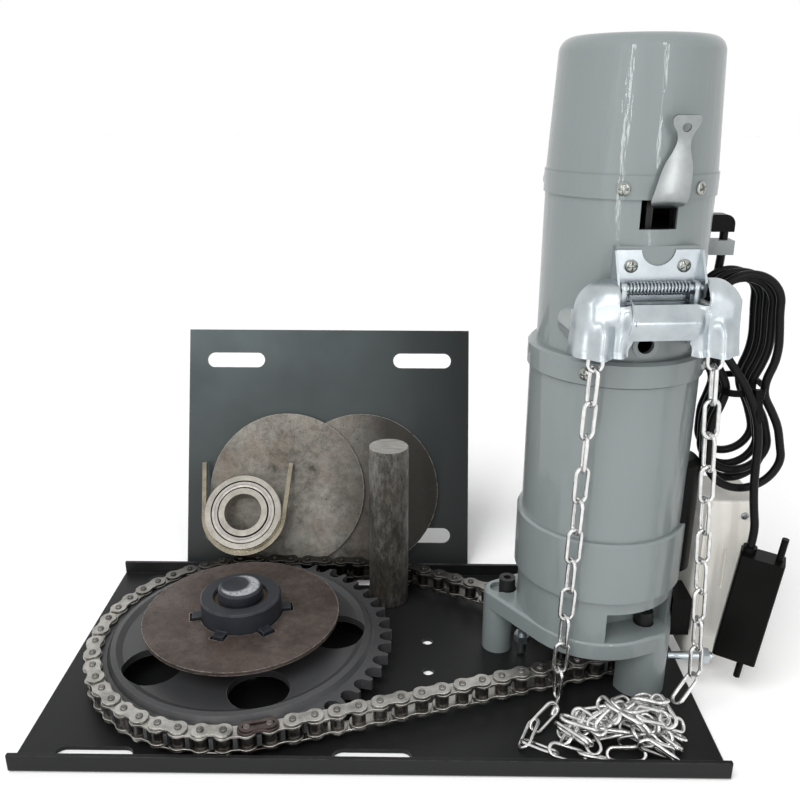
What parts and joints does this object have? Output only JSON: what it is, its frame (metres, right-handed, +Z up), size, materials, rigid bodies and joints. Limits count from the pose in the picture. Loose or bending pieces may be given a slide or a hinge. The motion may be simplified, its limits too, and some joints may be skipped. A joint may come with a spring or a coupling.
{
  "type": "garage door opener",
  "caption": "Chain-drive roller door opener: upright motor and gear head on a folded base plate, roller chain to a large sprocket, hand chain, brake lever and loose fitting kit.",
  "frame": {"origin": "centre of the base plate's underside", "axes": "+Z up along the motor and sprocket axes, +X from the large sprocket to the motor, +Y to the back"},
  "size_m": [0.5473, 0.359, 0.471],
  "materials": {
    "charcoal_paint": "satin",
    "black_paint": "satin",
    "oiled_steel": "oiled",
    "mill_steel": "mill scale",
    "turned_steel": "bright",
    "bronze": "satin",
    "chain_steel": "oiled",
    "motor_paint": "gloss",
    "zinc": "zinc plated",
    "clip_zinc": "yellow zinc",
    "black_bolt": "black oxide",
    "gear_steel": "machined",
    "lamination": "stacked",
    "copper": "lacquered",
    "cast_grey": "as cast",
    "lining": "matt",
    "cream_plastic": "gloss",
    "black_plastic": "matt",
    "grey_plastic": "matt",
    "black_cable": "satin"
  },
  "bodies": {
    "frame": {"base_plate": "charcoal_paint", "end_plate": "charcoal_paint", "connecting_link": "oiled_steel", "weld_discs": "mill_steel", "shaft_stub": "mill_steel", "axle": "turned_steel", "cluster_pin": "turned_steel", "thrust_washer": "turned_steel", "bearing_outer_ring": "turned_steel", "bearing_inner_ring": "turned_steel", "rotor_bearings": "turned_steel", "bearing_shields": "turned_steel", "output_bearing": "bronze", "chain_inner_links": "chain_steel", "chain_outer_links": "chain_steel", "gear_casting": "motor_paint", "motor_housing": "motor_paint", "flange_ring": "motor_paint", "upper_housing": "motor_paint", "top_cap": "motor_paint", "hinge_bracket": "zinc", "hinge_pin": "zinc", "lever_pin": "zinc", "guide_spring": "zinc", "housing_screws": "zinc", "casting_studs": "zinc", "hand_chain_left": "zinc", "hand_chain_right": "zinc", "hand_chain_pile": "zinc", "bearing_clip": "clip_zinc", "foot_bolts": "black_bolt", "stator_core": "lamination", "stator_windings": "copper", "brake_magnet": "cast_grey", "end_shield": "cast_grey", "limit_switch_box": "cream_plastic", "limit_box_base": "cream_plastic", "limit_bracket": "black_plastic", "capacitor_cover": "black_plastic", "receiver_box": "black_plastic", "receiver_stubs": "black_plastic", "cable_gland": "black_plastic", "cable_clip": "grey_plastic", "power_lead": "black_cable", "cable_hank": "black_cable", "receiver_lead": "black_cable"},
    "wheel": {"driven_sprocket": "black_paint", "dog_hub": "black_paint", "flange_disc": "oiled_steel", "axle_bush": "bronze"},
    "output": {"output_shaft": "turned_steel", "drive_sprocket": "gear_steel", "output_gear": "gear_steel"},
    "cluster": {"cluster_gear": "gear_steel"},
    "rotor": {"rotor_core": "lamination", "rotor_shaft": "turned_steel", "brake_disc": "lining"},
    "hand_wheel": {"hand_chain_wheel": "cast_grey"},
    "lever": {"brake_lever": "zinc"},
    "guide": {"chain_guide": "zinc"}
  },
  "joints": [
    {"name": "wheel_spin", "type": "hinge", "parent": "frame", "child": "wheel", "pos_m": [-0.1075, 0.001, 0.017], "axis": [0, 0, 1], "continuous": true, "deforming": ["chain_inner_links", "chain_outer_links", "connecting_link"]},
    {"name": "output_spin", "type": "hinge", "parent": "frame", "child": "output", "pos_m": [0.17309, 0.001, 0.017], "axis": [0, 0, 1], "continuous": true},
    {"name": "cluster_spin", "type": "hinge", "parent": "frame", "child": "cluster", "pos_m": [0.15188, 0.02221, 0.08], "axis": [0, 0, 1], "continuous": true},
    {"name": "rotor_spin", "type": "hinge", "parent": "frame", "child": "rotor", "pos_m": [0.17309, 0.001, 0.19], "axis": [0, 0, 1], "continuous": true},
    {"name": "hand_wheel_spin", "type": "hinge", "parent": "frame", "child": "hand_wheel", "pos_m": [0.17309, 0.001, 0.294], "axis": [0, 0, 1], "continuous": true, "deforming": ["hand_chain_left", "hand_chain_right", "hand_chain_pile"]},
    {"name": "lever_release", "type": "hinge", "parent": "frame", "child": "lever", "pos_m": [0.18472, -0.04014, 0.37], "axis": [0.9962, 0.0872, 0], "range_deg": [0, 25], "stiffness_Nm_per_rad": 0.3, "springref_deg": -17.19},
    {"name": "guide_swing", "type": "hinge", "parent": "frame", "child": "guide", "pos_m": [0.18166, -0.0625, 0.322], "axis": [-0.9962, -0.0872, 0], "range_deg": [0, 20], "stiffness_Nm_per_rad": 0.4, "springref_deg": -17.19, "deforming": ["guide_spring", "hand_chain_left", "hand_chain_right"]}
  ],
  "couplings": [
    {"joint": "output_spin", "follows": "wheel_spin", "ratio": 4.1818},
    {"joint": "cluster_spin", "follows": "wheel_spin", "ratio": -8.3636},
    {"joint": "rotor_spin", "follows": "wheel_spin", "ratio": 25.091}
  ]
}
